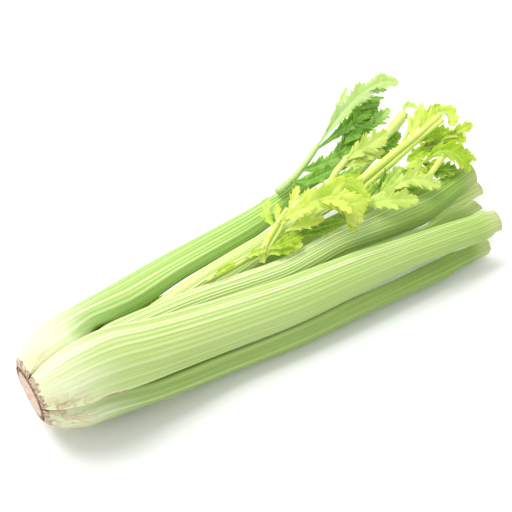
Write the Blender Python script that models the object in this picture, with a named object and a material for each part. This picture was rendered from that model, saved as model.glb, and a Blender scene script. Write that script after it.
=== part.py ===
"""A head of celery lying on its side, trimmed at the root and across the tops.

Metres, +Z up. The head lies along X: the cut root is at -X, the leafy tops at +X, and the
table is the plane Z = 0. The tables below are in millimetres and degrees.
"""

import math

import bmesh
import bpy
from mathutils import Vector

MM = 0.001

# Driving dimensions, in millimetres.
BUTT_X = -172.0  # the cut face of the root
ROOT_Z = 37.6  # height of the middle of the root above the table
ROOT_Y = -1.8
CROWN_RADIUS = 18.5  # the short stem that all the stalks grow from
GAP = 0.35  # clearance between pieces that touch
CENTRE = Vector((-13.0, -18.0, 0.0))  # brings the middle of the head over the origin
RIB_HEIGHT = 1.1
EDGE_THICKNESS = 2.6  # at the thin margins of a stalk
INNER_POINTS = 4  # across the hollow side of a stalk
LONGEST_SPAN = 36.0  # between two slices of a stalk
BLADE = 1.0  # thickness of a leaf

# Radius of the head's outer surface against the distance from the cut face.
BULGE = [(0, 18.5), (3, 24.0), (8, 28.2), (14, 31.4), (24, 35.2), (37, 37.2), (50, 37.2)]

LIGHT_GREEN = (0.62, 0.78, 0.28)
PALE_GREEN = (0.80, 0.88, 0.48)
LEAF_GREEN = (0.36, 0.58, 0.10)
LEAF_YELLOW = (0.74, 0.84, 0.20)
ROOT_TAN = (0.78, 0.66, 0.52)


def clear_scene():
    for obj in list(bpy.data.objects):
        bpy.data.objects.remove(obj)


def hermite(table, at):
    """Smooth curve through the rows of a table, read at one value of its first column."""
    at = min(max(at, table[0][0]), table[-1][0])
    last = len(table) - 1
    i = next((k for k in range(last) if at <= table[k + 1][0]), last - 1)

    def slope(k, column):
        low, high = max(k - 1, 0), min(k + 1, last)
        return (table[high][column] - table[low][column]) / (table[high][0] - table[low][0])

    span = table[i + 1][0] - table[i][0]
    t = (at - table[i][0]) / span
    blend = (2 * t**3 - 3 * t**2 + 1, t**3 - 2 * t**2 + t, 3 * t**2 - 2 * t**3, t**3 - t**2)
    values = []
    for column in range(1, len(table[0])):
        ends = (
            table[i][column],
            slope(i, column) * span,
            table[i + 1][column],
            slope(i + 1, column) * span,
        )
        values.append(sum(b * e for b, e in zip(blend, ends)))
    return values


def material(name, colour, roughness=0.45):
    made = bpy.data.materials.new(name)
    made.use_nodes = True
    shader = made.node_tree.nodes["Principled BSDF"]
    shader.inputs["Base Color"].default_value = (*colour, 1)
    shader.inputs["Roughness"].default_value = roughness
    shader.inputs["Metallic"].default_value = 0.0
    return made


def add_object(name, points, faces):
    mesh = bpy.data.meshes.new(name)
    bm = bmesh.new()
    verts = [bm.verts.new((p + CENTRE) * MM) for p in points]
    for face in faces:
        bm.faces.new([verts[i] for i in face])
    bmesh.ops.recalc_face_normals(bm, faces=bm.faces)
    bm.to_mesh(mesh)
    bm.free()
    obj = bpy.data.objects.new(name, mesh)
    bpy.context.scene.collection.objects.link(obj)
    return obj


def loft(name, rings):
    """Closed solid through a list of rings that all have the same number of points."""
    points = [p for ring in rings for p in ring]
    count = len(rings[0])
    faces = [list(reversed(range(count))), list(range(len(points) - count, len(points)))]
    for start in range(0, len(points) - count, count):
        for i in range(count):
            j = (i + 1) % count
            faces.append((start + i, start + j, start + count + j, start + count + i))
    return add_object(name, points, faces)


# --- stalks ---------------------------------------------------------------------------


def base_rows(facing, half_angle, starts, depth=0.0, thickness=8.0):
    """Rows of a stalk where it is wrapped round the crown, concentric with the head."""
    rows = []
    turn = math.radians(facing)
    for start in starts:
        radius = hermite(BULGE, start)[0] - depth
        room = radius - CROWN_RADIUS - GAP - 0.6 if start < 22 else thickness
        crest_y = ROOT_Y + radius * math.cos(turn)
        crest_z = ROOT_Z + radius * math.sin(turn)
        spread = half_angle - max(0.0, 3 - 0.15 * start)
        wall = min(thickness, room)
        rows.append((BUTT_X + start, crest_y, crest_z, facing, radius, spread, wall))
    return rows


def cross_section(row, x, ribs, tuck):
    """Points round one slice of a stalk: ribs on the round side, then the hollow side back."""
    crest_y, crest_z, facing, radius, half_angle, thickness = row
    turn, half = math.radians(facing), math.radians(half_angle)
    centre_y = crest_y - radius * math.cos(turn)
    centre_z = crest_z - radius * math.sin(turn)
    edge = min(EDGE_THICKNESS, 0.6 * thickness)
    rib = RIB_HEIGHT * min(1.0, thickness / 7.0, radius / 12.0)

    def point(share, inward):
        side = tuck[0] if share < 0 else tuck[1]
        reach = radius - inward - side * share**2
        angle = turn + share * half
        z = max(0.0, centre_z + reach * math.sin(angle))
        return Vector((x, centre_y + reach * math.cos(angle), z))

    def wall(share):
        return edge + (thickness - edge) * (1 - share**2)

    count = 2 * ribs
    shares = [-1 + 2 * i / count for i in range(count + 1)]
    outer = [point(s, 0 if i % 2 else rib * (1 - s**6)) for i, s in enumerate(shares)]
    steps = [1 - 2 * (j + 0.5) / INNER_POINTS for j in range(INNER_POINTS)]
    inner = [point(s, wall(s)) for s in steps]
    return outer + [point(1.0, edge)] + inner + [point(-1.0, edge)]


def stalk(name, table, ribs=8, tuck=(0, 0), tuck_end=(0, 0), colour=LIGHT_GREEN):
    """A stalk through the rows of its table, with more slices where the rows are far apart.

    The tuck pulls each margin in towards the hollow, near the root and at the far end.
    """
    stations = [table[0][0]]
    for row in table[1:]:
        gap = row[0] - stations[-1]
        pieces = max(1, math.ceil(gap / LONGEST_SPAN))
        start = stations[-1]
        stations += [start + gap * (k + 1) / pieces for k in range(pieces)]
    rings = []
    for x in stations:
        from_root = x - BUTT_X
        share = max(0.0, min(1.0, (150 - from_root) / 90))
        grown = min(1.0, from_root / 12)
        tucked = [grown * (a * share + b * (1 - share)) for a, b in zip(tuck, tuck_end)]
        rings.append(cross_section(hermite(table, x), x, ribs, tucked))
    obj = loft(name, rings)
    obj.data.materials.append(material(name, colour))
    return obj


# --- leaves ---------------------------------------------------------------------------

# Along the midrib (0 base, 1 tip) against half width: lobes and notches of one leaflet.
LEAFLET = [
    (0.00, 0.06),
    (0.13, 0.15),
    (0.29, 0.68),
    (0.36, 0.54),
    (0.50, 1.00),
    (0.58, 0.56),
    (0.72, 0.80),
    (0.79, 0.50),
    (0.90, 0.42),
    (1.00, 0.05),
]
FINE_TEETH = (0.13, 0.36, 0.79)  # rows that a narrow leaflet does without
FORWARD = 0.7  # how far the teeth lean towards the tip


def curve_point(points, t):
    table = [(i / (len(points) - 1), *p) for i, p in enumerate(points)]
    return Vector(hermite(table, t))


def curve_frame(points, t, up):
    """Position, direction, side and normal on a smooth curve."""
    step = 0.02
    ahead = curve_point(points, min(1.0, t + step))
    behind = curve_point(points, max(0.0, t - step))
    along = (ahead - behind).normalized()
    normal = (up - up.dot(along) * along).normalized()
    return curve_point(points, t), along, along.cross(normal), normal


def leaflet(points, width, up, fold=0.25, wave=0.08):
    """A toothed blade of even thickness along a curved midrib."""
    up = Vector(up)
    length = sum((Vector(b) - Vector(a)).length for a, b in zip(points, points[1:]))
    upper, lower = [], []
    profile = LEAFLET if width > 9 else [row for row in LEAFLET if row[0] not in FINE_TEETH]
    for i, (t, share) in enumerate(profile):
        half = max(0.5 * width * share, 0.7)
        sway = wave * width * math.sin(2.4 * i)
        lift = fold * half + (sway if 0 < i < len(profile) - 1 else 0)
        shift = FORWARD * half if share > 0.1 else 0
        middle, along, side, normal = curve_frame(points, t, up)
        edges = []
        for sign in (-1, 1):
            rise = lift if sign < 0 else fold * half - (lift - fold * half)
            edges.append(middle + sign * half * side + shift * along + rise * normal)
        for p in (edges[0], middle, edges[1]):
            upper.append(p + 0.5 * BLADE * normal)
            lower.append(p - 0.5 * BLADE * normal)
    return blade_solid(upper, lower, 3)


def blade_solid(upper, lower, across):
    """Closed solid between two like sheets of points, cut into triangles the same way."""
    base = len(upper)
    rows = base // across
    faces = []
    for r in range(rows - 1):
        for c in range(across - 1):
            a, b = r * across + c, r * across + c + 1
            d, e = a + across, b + across
            pair = [(a, b, e), (a, e, d)] if c % 2 else [(a, b, d), (b, e, d)]
            faces += pair
            faces += [tuple(base + v for v in reversed(t)) for t in pair]
        for a in (r * across, r * across + across - 1):
            d = a + across
            faces += [(a, d, base + a), (d, base + d, base + a)]
    for r in (0, rows - 1):
        for c in range(across - 1):
            a = r * across + c
            faces += [(a, a + 1, base + a), (a + 1, base + a + 1, base + a)]
    return add_object("blade", upper + lower, faces)


def stem(points, thick, thin, sides=6):
    """A tapering petiole along a curve."""
    rings = []
    count = max(4, 3 * (len(points) - 1) + 1)
    for i in range(count):
        t = i / (count - 1)
        middle, _, side, normal = curve_frame(points, t, Vector((0.05, -0.3, 1)))
        radius = 0.5 * (thick + (thin - thick) * t)
        ring = []
        for k in range(sides):
            turn = 2 * math.pi * (k + 0.5) / sides
            ring.append(middle + radius * (math.cos(turn) * side + math.sin(turn) * normal))
        rings.append(ring)
    return loft("stem", rings)


def islands(bm):
    """Groups of faces that hang together."""
    left = set(bm.faces)
    while left:
        group, queue = set(), [left.pop()]
        while queue:
            face = queue.pop()
            group.add(face)
            near = {other for edge in face.edges for other in edge.link_faces} & left
            left -= near
            queue += near
        yield group


def drop_crumbs(mesh):
    """Remove specks that the union leaves where two blades just graze each other."""
    bm = bmesh.new()
    bm.from_mesh(mesh)
    bmesh.ops.triangulate(bm, faces=bm.faces)
    bmesh.ops.dissolve_degenerate(bm, edges=bm.edges, dist=0.002 * MM)
    bm.faces.ensure_lookup_table()
    groups = sorted(islands(bm), key=len)
    crumbs = [face for group in groups[:-1] if len(group) < 40 for face in group]
    bmesh.ops.delete(bm, geom=crumbs, context="FACES")
    bm.to_mesh(mesh)
    bm.free()


def spray(name, pieces, colour):
    """Fuse the stem and leaflets of one spray into a single solid."""
    body = pieces[0]
    body.name = name
    if len(pieces) > 1:
        others = bpy.data.collections.new(name + "_others")
        for piece in pieces[1:]:
            bpy.context.scene.collection.objects.unlink(piece)
            others.objects.link(piece)
        bpy.context.scene.collection.children.link(others)
        fuse = body.modifiers.new("fuse", "BOOLEAN")
        fuse.operation = "UNION"
        fuse.operand_type = "COLLECTION"
        fuse.collection = others
        fuse.solver = "MANIFOLD"
        view = bpy.context.view_layer
        view.update()
        fused = bpy.data.meshes.new_from_object(body.evaluated_get(view.depsgraph))
        body.modifiers.remove(fuse)
        body.data = fused
        drop_crumbs(fused)
        for piece in pieces[1:]:
            bpy.data.objects.remove(piece)
        bpy.data.collections.remove(others)
    body.data.materials.clear()
    body.data.materials.append(material(name, colour, 0.5))
    return body


# --- the head -------------------------------------------------------------------------


def crown():
    """The short stem, cut flat at the root and domed inside the head."""
    profile = [(0.0, 17.4), (0.8, 18.4), (5, 18.5), (10, 18.2), (16, 16.0), (20, 12.0), (22.5, 6.0)]
    sides = 32
    rings = []
    for along, radius in profile:
        ring = []
        for i in range(sides):
            turn = 2 * math.pi * i / sides
            y = ROOT_Y + radius * math.cos(turn)
            ring.append(Vector((BUTT_X + along, y, ROOT_Z + radius * math.sin(turn))))
        rings.append(ring)
    obj = loft("crown", rings)
    obj.data.materials.append(material("crown", ROOT_TAN, 0.8))
    return obj


# Rows of a stalk: x, crest y, crest z, facing angle, radius, half angle, thickness.
# The facing angle lies in the YZ plane: 0 is the far side (+Y), 90 is up, 180 the near side.
OUTER = (3, 8, 14, 24, 37)
INNER = (25, 37)


def build():
    clear_scene()
    crown()
    stalk(
        "stalk_front",
        base_rows(130, 33, OUTER)
        + [
            (-116, -25.8, 62.7, 128.8, 32.8, 40.8, 8.5),
            (-92, -27.2, 56.4, 130.5, 27, 47.5, 9),
            (-50, -29.7, 48, 135, 24, 50, 9),
            (5, -36.3, 44.7, 137, 21.5, 52, 9),
            (56, -39.9, 43.8, 138, 18.5, 52, 8.5),
            (91, -42.9, 42.9, 138, 15, 53, 8),
            (128, -48, 42.6, 138, 13.5, 54, 7.5),
            (150, -51.3, 42, 138, 12.7, 55, 7.5),
            (157, -52, 42.9, 135, 13.6, 53, 8.5),
            (161, -52, 42.2, 135, 10.8, 56, 7.5),
            (166.5, -53, 42, 135, 9.2, 60, 7),
        ],
        ribs=10,
    )
    stalk(
        "stalk_top",
        base_rows(114, 28, INNER, 11.5, 6.5)
        + [
            (-126, -12.6, 60, 115, 25, 27, 6.5),
            (-118, -11.7, 60, 114, 25, 33.5, 6.5),
            (-100, -7.9, 57.8, 111, 19, 43, 7.5),
            (-51, -6.5, 51.9, 112, 15, 50, 7.5),
            (10, -14.9, 50.6, 115, 13.5, 52, 7.5),
            (33, -15.4, 52, 116, 13, 52, 7.5),
            (56, -14.7, 52.4, 118, 12.5, 52, 7.5),
            (76, -16.6, 52, 124, 12.7, 58, 7.5),
            (95, -18.5, 51.6, 130, 13, 66, 7.5),
            (123, -21.3, 51.4, 138, 14, 72, 7.5),
            (141, -19.8, 51.8, 136, 12.5, 64, 7),
            (158, -17.4, 52.8, 133, 11, 60, 6.5),
            (173, -14.9, 53.8, 130, 9.8, 60, 6.5),
        ],
    )
    stalk(
        "stalk_back",
        base_rows(60, 39, OUTER)
        + [
            (-118, 23.9, 60.8, 64, 32, 33, 8.5),
            (-100, 29, 54.5, 69, 28, 42, 9),
            (-84, 32.4, 50, 74, 26, 46, 9),
            (-46, 38.4, 46, 76, 23, 45, 9),
            (13, 43.4, 44, 76, 21, 46, 8.5),
            (36, 46, 44, 76, 18, 48, 8.5),
            (41, 47, 45, 76, 18.5, 50, 9),
            (46, 48, 44, 76, 14, 52, 8),
            (70, 53, 43, 78, 10, 56, 7),
            (122, 57, 41, 80, 7.5, 62, 6),
        ],
        ribs=9,
        tuck=(0, 5),
    )
    stalk(
        "stalk_low_front",
        base_rows(195, 33, OUTER)
        + [
            (-100, -40.2, 20, 200, 28, 38, 9),
            (-48, -41.8, 11.3, 200, 19, 58, 9),
            (2, -47.3, 9.7, 196, 17.5, 62, 9),
            (42, -50.1, 10.9, 194, 17, 64, 9),
            (84, -52.3, 11.3, 191, 14.5, 68, 8.5),
            (119, -54.5, 11.4, 184, 12.8, 76, 8),
            (131, -53.9, 11.3, 187, 12.5, 75, 8),
            (137, -53.7, 11.2, 187, 11.4, 75, 7.5),
            (162, -53.9, 10.8, 189, 10.5, 73, 7.5),
        ],
        tuck=(5, 0),
        tuck_end=(1.5, 0),
    )
    stalk(
        "stalk_under",
        base_rows(262, 36, OUTER)
        + [
            (-118, -5, -1.4, 265, 34, 34, 9),
            (-100, -4, -1.5, 267, 29, 36, 9),
            (-50, -3, -0.9, 268, 20, 46, 9),
            (50, -3, -0.9, 268, 17, 50, 8.5),
            (100, -9.7, 4, 259, 14, 47, 8),
            (122, -14.7, 8.6, 253, 13, 47, 8),
            (133, -18.3, 11.5, 247, 12.5, 45, 8),
            (139, -19.2, 13.2, 246, 12, 46, 7.5),
            (145, -18, 14, 254, 12, 54, 7),
            (152, -18.8, 15.9, 254, 11.5, 56, 7),
            (162, -21, 18.4, 252, 11, 55, 6.5),
            (173, -21.6, 21, 253, 11, 48, 6.5),
        ],
        ribs=6,
        tuck=(5, 0),
    )
    stalk(
        "stalk_low_back",
        base_rows(338, 42, OUTER)
        + [
            (-100, 31, 14, 325, 27, 42, 9),
            (-50, 29.5, 2.2, 302, 20, 46, 9),
            (0, 28.2, -0.2, 290, 18, 50, 9),
            (60, 29, -0.6, 285, 16, 52, 8.5),
            (120, 31, -0.6, 285, 12, 55, 8),
        ],
        ribs=6,
        tuck=(5, 5),
    )
    stalk(
        "stalk_inner",
        [
            (-144, 8, 46, 80, 10, 58, 6),
            (-120, 9, 45, 85, 9.5, 60, 6),
            (-84, 9, 43, 95, 8.5, 60, 6),
            (-36, 11.4, 50.2, 105, 7.5, 62, 6),
            (14, 15.6, 50, 105, 8, 62, 6),
            (60, 17, 54, 105, 6.8, 66, 5.5),
            (77, 17.3, 55.6, 107, 6.2, 68, 5),
        ],
        ribs=6,
        colour=PALE_GREEN,
    )
    stalk(
        "stalk_heart",
        [
            (-144, -9, 42, 110, 8, 62, 5.5),
            (-100, -8, 42, 110, 8, 62, 5.5),
            (-50, -7, 38, 110, 7.5, 62, 5.5),
            (10, -8, 36, 112, 7, 62, 5.5),
            (56, -9.5, 38, 115, 6.5, 64, 5.5),
            (110, -14.5, 37, 120, 6.3, 66, 5),
            (150, -19, 37, 126, 6.3, 64, 5),
            (177, -20, 39.5, 128, 6, 60, 4.5),
        ],
        ribs=5,
        colour=PALE_GREEN,
    )
    stalk(
        "stalk_core",
        [
            (-144, 3, 32, 60, 9, 62, 5.5),
            (-100, 8, 31, 65, 8, 62, 5.5),
            (-50, 12, 32, 80, 7.5, 62, 5.5),
            (10, 20, 32, 90, 7, 62, 5.5),
            (70, 32, 36, 100, 6.5, 66, 5),
            (110, 40, 44, 110, 6, 70, 4.5),
            (140, 48, 51, 120, 5.5, 74, 4.5),
            (166, 59, 54, 120, 5, 78, 4.5),
        ],
        ribs=5,
        colour=PALE_GREEN,
    )


LEAVES = {
    # name: colour, stems (points, thick, thin), leaflets (points, width, up)
    "leaf_back": (
        LEAF_GREEN,
        [
            ([(47, 48.5, 49.2), (63, 53, 49.6), (78, 58.5, 53), (92, 64, 58)], 6, 4),
        ],
        [
            ([(89.3, 62.9, 57.3), (110.4, 70.9, 64.5), (129.3, 77.9, 68), (148.8, 82.5, 69.5),
              (165.5, 82.7, 69), (173.8, 77.4, 66)], 19, (-0.2, -0.5, 0.8)),
            ([(89, 62, 56.5), (121, 68, 59), (142, 75, 60), (158, 79, 58)], 20, (-0.4, -0.4, 0.8)),
            ([(100, 56, 53), (120, 62, 56), (137, 68, 57), (153, 75, 55)], 27, (-0.3, -0.5, 0.8)),
            ([(91.8, 48.4, 50), (106.5, 54.5, 52), (124.6, 62.3, 53),
              (144.9, 71.7, 54)], 23, (-0.3, -0.5, 0.8)),
            ([(131, 63, 55), (143, 63, 56), (159, 68, 56)], 15, (-0.3, -0.5, 0.8)),
            ([(135, 78, 65), (146, 76, 65), (158, 74, 63)], 7, (-0.3, -0.5, 0.8)),
            ([(143.8, 80.6, 68.5), (153.5, 78.8, 68), (163.1, 77.8, 65)], 6, (-0.3, -0.5, 0.8)),
            ([(133, 75, 62), (143, 74, 62), (153, 73, 60)], 7, (-0.3, -0.5, 0.8)),
            ([(101.7, 68.6, 63), (120.8, 79.7, 68), (136.1, 91.3, 71)], 8, (-0.3, -0.5, 0.8)),
            ([(70.2, 54.8, 51.5), (79, 51.5, 52.5), (91.4, 50.5, 52.5),
              (107.1, 51.6, 51)], 16, (-0.2, -0.4, 0.9)),
            ([(58.2, 51, 50.5), (68.5, 43.7, 52), (82.5, 42.8, 52),
              (99.5, 44.6, 51)], 14, (-0.2, -0.4, 0.9)),
        ],
    ),
    "leaf_pale": (
        PALE_GREEN,
        [
            ([(66, 25, 44), (76, 30, 51), (86, 34, 59), (97, 37, 64)], 6, 4.5),
            ([(96.5, 37.9, 62.5), (116.5, 39.7, 58), (137.4, 44.2, 60), (160.2, 52.9, 62)], 6, 7),
            ([(160.2, 52.9, 62), (160.3, 45.9, 61.5), (150.7, 36.8, 60),
              (138.6, 30.1, 58)], 3.5, 2.5),
        ],
        [
            ([(93.3, 35.9, 63), (106, 37, 66), (119.5, 37.7, 67),
              (136.4, 42.4, 65)], 22, (-0.3, -0.5, 0.8)),
            ([(94.7, 36.6, 62.6), (110.9, 32.6, 63), (126.7, 31.2, 60.5)], 12, (-0.3, -0.5, 0.8)),
            ([(90, 35, 61), (104, 31, 61.5), (118, 30.5, 59)], 10, (-0.3, -0.5, 0.8)),
            ([(85, 32, 58), (93, 29, 58), (101, 25, 56)], 12, (-0.3, -0.5, 0.8)),
            ([(95.6, 36.7, 63), (125.6, 38.5, 55), (151.9, 44.6, 54)], 20, (-0.3, -0.5, 0.8)),
            ([(158.6, 52.1, 62.5), (163.8, 56.8, 64), (168.8, 56.1, 64),
              (171.2, 50.8, 63)], 7, (-0.2, -0.4, 0.9)),
        ],
    ),
    "leaf_crest": (
        LEAF_YELLOW,
        [
            ([(80, 17, 54.5), (106, 20.5, 59.5), (132, 25, 62.5), (155.9, 28.9, 65.5),
              (176.1, 32.5, 69.5)], 7, 4),
            ([(81, 12.8, 50), (101.8, 15.9, 55.5), (125.9, 20.5, 59), (153, 26.1, 62.5),
              (175.4, 28, 68.5)], 6, 3.5),
        ],
        [
            ([(145.2, 27.6, 61.5), (158.3, 38, 65), (176, 51.5, 66)], 12, (-0.5, -0.4, 0.8)),
            ([(169, 33.1, 65.3), (180.6, 35.4, 67.4), (184.1, 29.3, 66.4),
              (179.1, 22.5, 63.6)], 15, (-0.2, -0.3, 0.9)),
            ([(154, 29.8, 63), (167.9, 35.4, 66), (180.9, 36.9, 67)], 19, (-0.5, -0.3, 0.8)),
            ([(165.6, 36.9, 65), (176.3, 42.4, 66), (186.4, 43.4, 65)], 8, (-0.5, -0.4, 0.8)),
            ([(149.3, 26.8, 60), (165.2, 26.2, 60), (179.4, 23.1, 59)], 18, (-0.2, -0.5, 0.8)),
            ([(166.9, 18.1, 60.2), (182.2, 17.9, 61.2), (198.1, 19.9, 59.2)], 13, (-0.2, -0.5, 0.8)),
            ([(161.4, 23.7, 60), (174.7, 17.5, 60), (184.7, 11, 57)], 15, (-0.2, -0.5, 0.8)),
            ([(146.3, 21.5, 58), (162.4, 17.6, 57.5), (174.3, 8.1, 55)], 18, (-0.2, -0.5, 0.8)),
            ([(173.4, 20.2, 58.5), (156.3, 19.2, 57.5), (136.1, 17.4, 57)], 16, (-0.2, -0.5, 0.8)),
        ],
    ),
    "leaf_arch": (
        LEAF_YELLOW,
        [
            ([(128, 16, 50), (135, 13, 54), (141, 10, 59), (144, 5, 64)], 5, 3.5),
            ([(153.2, -0.8, 69), (146.6, -2.2, 64), (136.9, -5.2, 59)], 5, 4),
        ],
        [
            ([(141, 5, 63), (150, 4, 69), (157, -2, 71), (161, -11, 68),
              (162, -18, 62)], 21, (0.1, -0.5, 0.9)),
            ([(143.5, 6, 63), (139, 7, 61.5), (134.5, -1.5, 57.5)], 18, (-0.4, -0.4, 0.8)),
            ([(157, -3.5, 70.6), (168, -7, 65.5), (176, -11, 60)], 8, (0, -0.4, 0.9)),
            ([(154.4, 4, 62.3), (147.2, 2.5, 60.6), (139, -0.4, 58.6)], 11, (-0.4, -0.4, 0.8)),
            ([(156, -1, 70.8), (168, -2, 67), (176, -5, 62)], 7, (0, -0.4, 0.9)),
            ([(141.8, 9, 60), (147, -2.6, 59), (159.6, -9.2, 58.7)], 19, (0, -0.4, 0.9)),
        ],
    ),
    "leaf_near": (
        PALE_GREEN,
        [
            ([(77, 1, 52), (84, 0, 57), (93, -1, 60), (104, -2, 61)], 5, 3.5),
        ],
        [
            ([(84, -0.5, 57.5), (96, -11, 65), (117, -20, 62)], 21, (-0.1, -0.3, 0.9)),
            ([(100, -1.6, 61), (121, -6, 67), (138, -18, 61)], 20, (-0.1, -0.3, 0.9)),
            ([(96, -1.5, 60.5), (112, 5, 63), (126, 11.5, 62)], 13, (-0.3, -0.5, 0.8)),
            ([(88, 1, 58), (110, 8, 57), (131, 10, 56)], 20, (0, -0.4, 0.9)),
            ([(81, 1, 56), (92, 5, 58), (106, 9, 57)], 13, (-0.3, -0.5, 0.8)),
            ([(94.9, -2.2, 59.5), (112.9, -4.4, 60), (130.4, -9, 59)], 15, (0, -0.4, 0.9)),
        ],
    ),
    "leaf_heart": (
        LEAF_YELLOW,
        [
            ([(2, 0, 50), (9, 6, 58), (20, 11, 65), (33, 16, 70)], 5, 3.5),
            ([(5.4, 1.5, 53), (14.5, 5.7, 58.5), (24.2, 9.5, 64), (29.6, 12.9, 68.5)], 4, 3),
            ([(8, 5, 58), (-12, 4.5, 55), (-38, 4, 53.8)], 2.4, 1.8),
        ],
        [
            ([(23, 9, 67), (40, 9, 74), (57, 3, 78), (66, -8, 75),
              (66, -18, 64)], 30, (-0.3, -0.4, 0.9)),
            ([(23.3, 11.9, 66.3), (33.3, 6.8, 75), (46.3, 1.4, 79)], 13, (-0.3, -0.4, 0.9)),
            ([(48, 7.1, 74.8), (57, -2.8, 80.5), (61.6, -16.9, 79)], 12, (-0.3, -0.4, 0.9)),
            ([(51, 6, 76.5), (68, 12, 77), (80, 7, 73), (82, -2, 67),
              (75, -10, 62)], 17, (-0.2, -0.3, 0.9)),
            ([(19, 10, 65), (20, 22, 67), (28, 30, 67)], 13, (-0.7, -0.2, 0.6)),
            ([(21, 11, 67), (26, 18, 68), (31, 26, 67)], 8, (-0.5, -0.3, 0.8)),
            ([(31, 13, 71), (40, 19, 73), (50, 28, 72)], 9, (-0.4, -0.3, 0.9)),
            ([(38, 10, 73), (45, 15, 74), (54, 20, 73)], 8, (-0.4, -0.3, 0.9)),
            ([(45, 7, 75), (54, 11, 75), (63, 16, 74)], 8, (-0.4, -0.3, 0.9)),
            ([(24, 5, 63), (36, 2, 66), (51, -1, 66)], 14, (0, -0.4, 0.9)),
            ([(8.1, 2, 57), (19, -0.8, 60), (36.7, -0.8, 59)], 13, (0, -0.4, 0.9)),
            ([(6.3, 0.5, 54.5), (16.5, -3.4, 57), (30.6, -6.4, 57)], 12, (0, -0.5, 0.8)),
            ([(27, 1, 60), (46, -2, 58.5), (65, -5, 58)], 14, (0, -0.5, 0.8)),
            ([(64, -1, 73), (66, -10, 69), (63, -18, 61)], 14, (-0.2, -0.4, 0.9)),
            ([(-34, 4, 54), (-27, 4.5, 56), (-16, 5, 56.5)], 6, (0, -0.4, 0.9)),
            ([(-10, 4.6, 55), (-2, 4, 58), (7, 2, 58)], 8, (0, -0.4, 0.9)),
        ],
    ),
}


def leaves():
    for name, (colour, stems, leaflets) in LEAVES.items():
        pieces = [stem(*row) for row in stems]
        pieces += [leaflet(*row) for row in leaflets]
        spray(name, pieces, colour)


build()
leaves()
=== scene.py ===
# %% [markdown]
# # A head of celery on a pale table
#
# A head of celery is a rosette of leaf stalks that all grow from one short stem. For sale
# it is cut flat at the root and across the tops, so small leaves survive only in the heart.
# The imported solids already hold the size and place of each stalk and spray. This lesson
# gives each of them what the eye looks for: irregular ribs, toothed blades with veins, the
# corky root, and skins that turn from cream to green along the stalk.

import math

import bmesh
import bpy
import numpy as np
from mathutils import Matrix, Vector


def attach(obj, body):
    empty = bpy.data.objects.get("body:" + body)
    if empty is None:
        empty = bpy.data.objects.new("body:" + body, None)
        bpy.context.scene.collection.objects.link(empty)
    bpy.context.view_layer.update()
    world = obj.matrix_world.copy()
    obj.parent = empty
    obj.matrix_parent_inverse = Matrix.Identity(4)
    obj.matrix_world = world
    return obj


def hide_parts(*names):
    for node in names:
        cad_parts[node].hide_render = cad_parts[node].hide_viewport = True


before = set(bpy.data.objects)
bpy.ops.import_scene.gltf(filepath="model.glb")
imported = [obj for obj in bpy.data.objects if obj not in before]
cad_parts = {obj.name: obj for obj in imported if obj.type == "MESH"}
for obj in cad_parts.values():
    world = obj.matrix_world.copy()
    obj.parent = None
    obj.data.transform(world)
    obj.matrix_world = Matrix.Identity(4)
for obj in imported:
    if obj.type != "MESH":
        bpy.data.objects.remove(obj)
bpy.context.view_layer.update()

# %% [markdown]
# ## Units and a smooth curve
#
# A grower would measure a stalk in millimetres, so the tables do too. Each row of a table is
# one slice of a stalk. A Hermite curve goes through every row without a kink, which is how a
# plant that grew without hurry is shaped.

# %% Millimetres, centre, Hermite curve
MM = 0.001
CENTRE = np.array([-13.0, -18.0, 0.0])  # brings the middle of the head over the origin
BUTT_X = -172.0  # where the knife cut the root
ROOT_Y, ROOT_Z = -1.8, 37.6  # the axis of the root
# distance from the cut, and radius of the bulb that the outer stalks form there
BULGE = [(0, 18.5), (3, 24.0), (8, 28.2), (14, 31.4), (24, 35.2), (37, 37.2), (50, 37.2)]


def hermite(table, at):
    """Smooth curve through the rows of a table, read at one value of its first column."""
    at = min(max(at, table[0][0]), table[-1][0])
    last = len(table) - 1
    i = next((k for k in range(last) if at <= table[k + 1][0]), last - 1)

    def slope(k, column):
        low, high = max(k - 1, 0), min(k + 1, last)
        return (table[high][column] - table[low][column]) / (table[high][0] - table[low][0])

    span = table[i + 1][0] - table[i][0]
    t = (at - table[i][0]) / span
    blend = (2 * t**3 - 3 * t**2 + 1, t**3 - 2 * t**2 + t, 3 * t**2 - 2 * t**3, t**3 - t**2)
    values = []
    for c in range(1, len(table[0])):
        ends = (table[i][c], slope(i, c) * span, table[i + 1][c], slope(i + 1, c) * span)
        values.append(sum(b * e for b, e in zip(blend, ends)))
    return values


print("outer radius 20 mm from the cut:", round(hermite(BULGE, 20)[0], 1), "mm")

# %% [markdown]
# ## Where the stalks run
#
# Near the root every outer stalk is part of one round bulb, so its first rows come from the
# bulb's own radius. After that each row gives x, the crest's y and z, the way the crest
# faces, the radius of its round back, half its opening angle and its thickness.

# %% Rows that a stalk shares with the bulb
OUTER = (0.6, 3, 8, 14, 24, 37)  # how far from the cut an outer stalk has its first rows
INNER = (25, 37)  # and one that starts inside the bulb
CROWN_RADIUS, CROWN_LENGTH = 18.5, 22  # the root, round which the stalks stand
GAP = 0.35  # between the root and a stalk
THINNEST = 0.5  # a stalk's thickness where it leaves the root
NARROWER, PER_MM = 3, 0.15  # degrees off the half angle at the cut, and back per millimetre


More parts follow.
